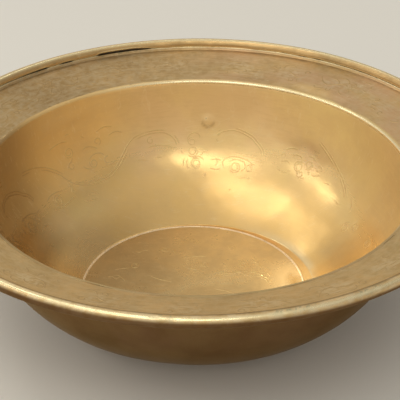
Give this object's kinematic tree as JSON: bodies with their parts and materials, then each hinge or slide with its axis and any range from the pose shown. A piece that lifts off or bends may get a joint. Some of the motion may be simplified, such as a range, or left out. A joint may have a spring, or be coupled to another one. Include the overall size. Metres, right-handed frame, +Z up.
{
  "type": "brass basin",
  "caption": "Round brass basin with a broad rising rim, rolled wired edge, curved sides and a flat floor disc brazed in.",
  "frame": {"origin": "on the axis of the mouth, at the height of the table that the basin stands on", "axes": "+Z up along the axis of the mouth; -Y is the side nearest the viewer of the picture"},
  "size_m": [0.4, 0.4, 0.1175],
  "materials": {
    "side_brass": "hand-polished sheet with worn engraving and fine scratches",
    "floor_brass": "dull polished sheet with worn engraving",
    "rim_brass": "dulled sheet, scratched, with traces of green patina",
    "solder": "pale brazing solder, rubbed bright",
    "wire_iron": "plain drawn iron wire"
  },
  "bodies": {
    "root": {"bowl_wall": "side_brass", "floor_disc": "floor_brass", "floor_solder": "solder", "rim_flange": "rim_brass", "rim_wire": "wire_iron", "rim_solder": "solder"}
  },
  "joints": []
}
